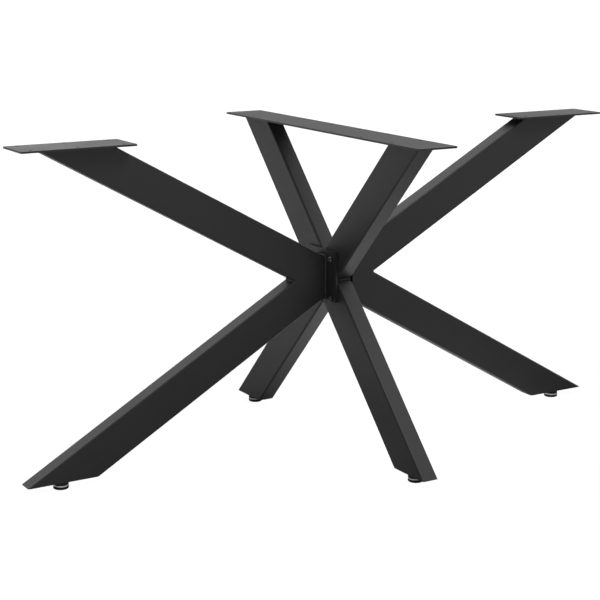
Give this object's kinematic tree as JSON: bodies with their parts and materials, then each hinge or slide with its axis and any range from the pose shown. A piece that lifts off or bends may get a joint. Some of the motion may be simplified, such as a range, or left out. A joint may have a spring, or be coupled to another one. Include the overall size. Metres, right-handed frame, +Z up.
{
  "type": "table frame",
  "caption": "Black steel table frame of crossed rectangular tube legs with flat top plates for a table top and screw-in levelling feet.",
  "frame": {"origin": "on the floor, straight below the crossing of the legs, at the centre of the frame's outline", "axes": "+Z up towards the table top, X along the table's length through the two wings, Y across its width through the crossed legs"},
  "size_m": [1.494, 0.8, 0.72],
  "materials": {
    "black_powder_coat": "fine-grained matt black powder coat",
    "plate_powder_coat": "fine-grained matt black powder coat, grey where it catches the light",
    "black_fastener": "black oxide steel",
    "zinc_steel": "bright zinc plated steel",
    "foot_rubber": "satin black rubber",
    "foot_plastic": "satin black plastic"
  },
  "bodies": {
    "frame": {"left_wing_leg": "black_powder_coat", "left_wing_arm": "black_powder_coat", "left_wing_plate": "plate_powder_coat", "left_wing_flange": "black_powder_coat", "left_joint_bolts": "black_fastener", "left_joint_washers": "black_fastener", "left_rivet_nuts": "zinc_steel", "right_wing_leg": "black_powder_coat", "right_wing_arm": "black_powder_coat", "right_wing_plate": "plate_powder_coat", "right_wing_flange": "black_powder_coat", "right_joint_bolts": "black_fastener", "right_joint_washers": "black_fastener", "right_rivet_nuts": "zinc_steel", "cross_through_leg": "black_powder_coat", "cross_upper_half": "black_powder_coat", "cross_lower_half": "black_powder_coat", "middle_plate": "plate_powder_coat", "left_end_plate": "black_powder_coat", "right_end_plate": "black_powder_coat", "front_end_plate": "black_powder_coat", "back_end_plate": "black_powder_coat", "left_leg_nut": "zinc_steel", "right_leg_nut": "zinc_steel", "front_leg_nut": "zinc_steel", "back_leg_nut": "zinc_steel"},
    "left_foot": {"left_foot_pad": "foot_rubber", "left_foot_ring": "zinc_steel", "left_foot_cap": "foot_plastic", "left_foot_stud": "zinc_steel"},
    "right_foot": {"right_foot_pad": "foot_rubber", "right_foot_ring": "zinc_steel", "right_foot_cap": "foot_plastic", "right_foot_stud": "zinc_steel"},
    "front_foot": {"front_foot_pad": "foot_rubber", "front_foot_ring": "zinc_steel", "front_foot_cap": "foot_plastic", "front_foot_stud": "zinc_steel"},
    "back_foot": {"back_foot_pad": "foot_rubber", "back_foot_ring": "zinc_steel", "back_foot_cap": "foot_plastic", "back_foot_stud": "zinc_steel"}
  },
  "joints": [
    {"name": "left_foot_levelling", "type": "slide", "parent": "frame", "child": "left_foot", "axis": [0, 0, -1], "range_m": [0, 0.015]},
    {"name": "right_foot_levelling", "type": "slide", "parent": "frame", "child": "right_foot", "axis": [0, 0, -1], "range_m": [0, 0.015]},
    {"name": "front_foot_levelling", "type": "slide", "parent": "frame", "child": "front_foot", "axis": [0, 0, -1], "range_m": [0, 0.015]},
    {"name": "back_foot_levelling", "type": "slide", "parent": "frame", "child": "back_foot", "axis": [0, 0, -1], "range_m": [0, 0.015]}
  ]
}
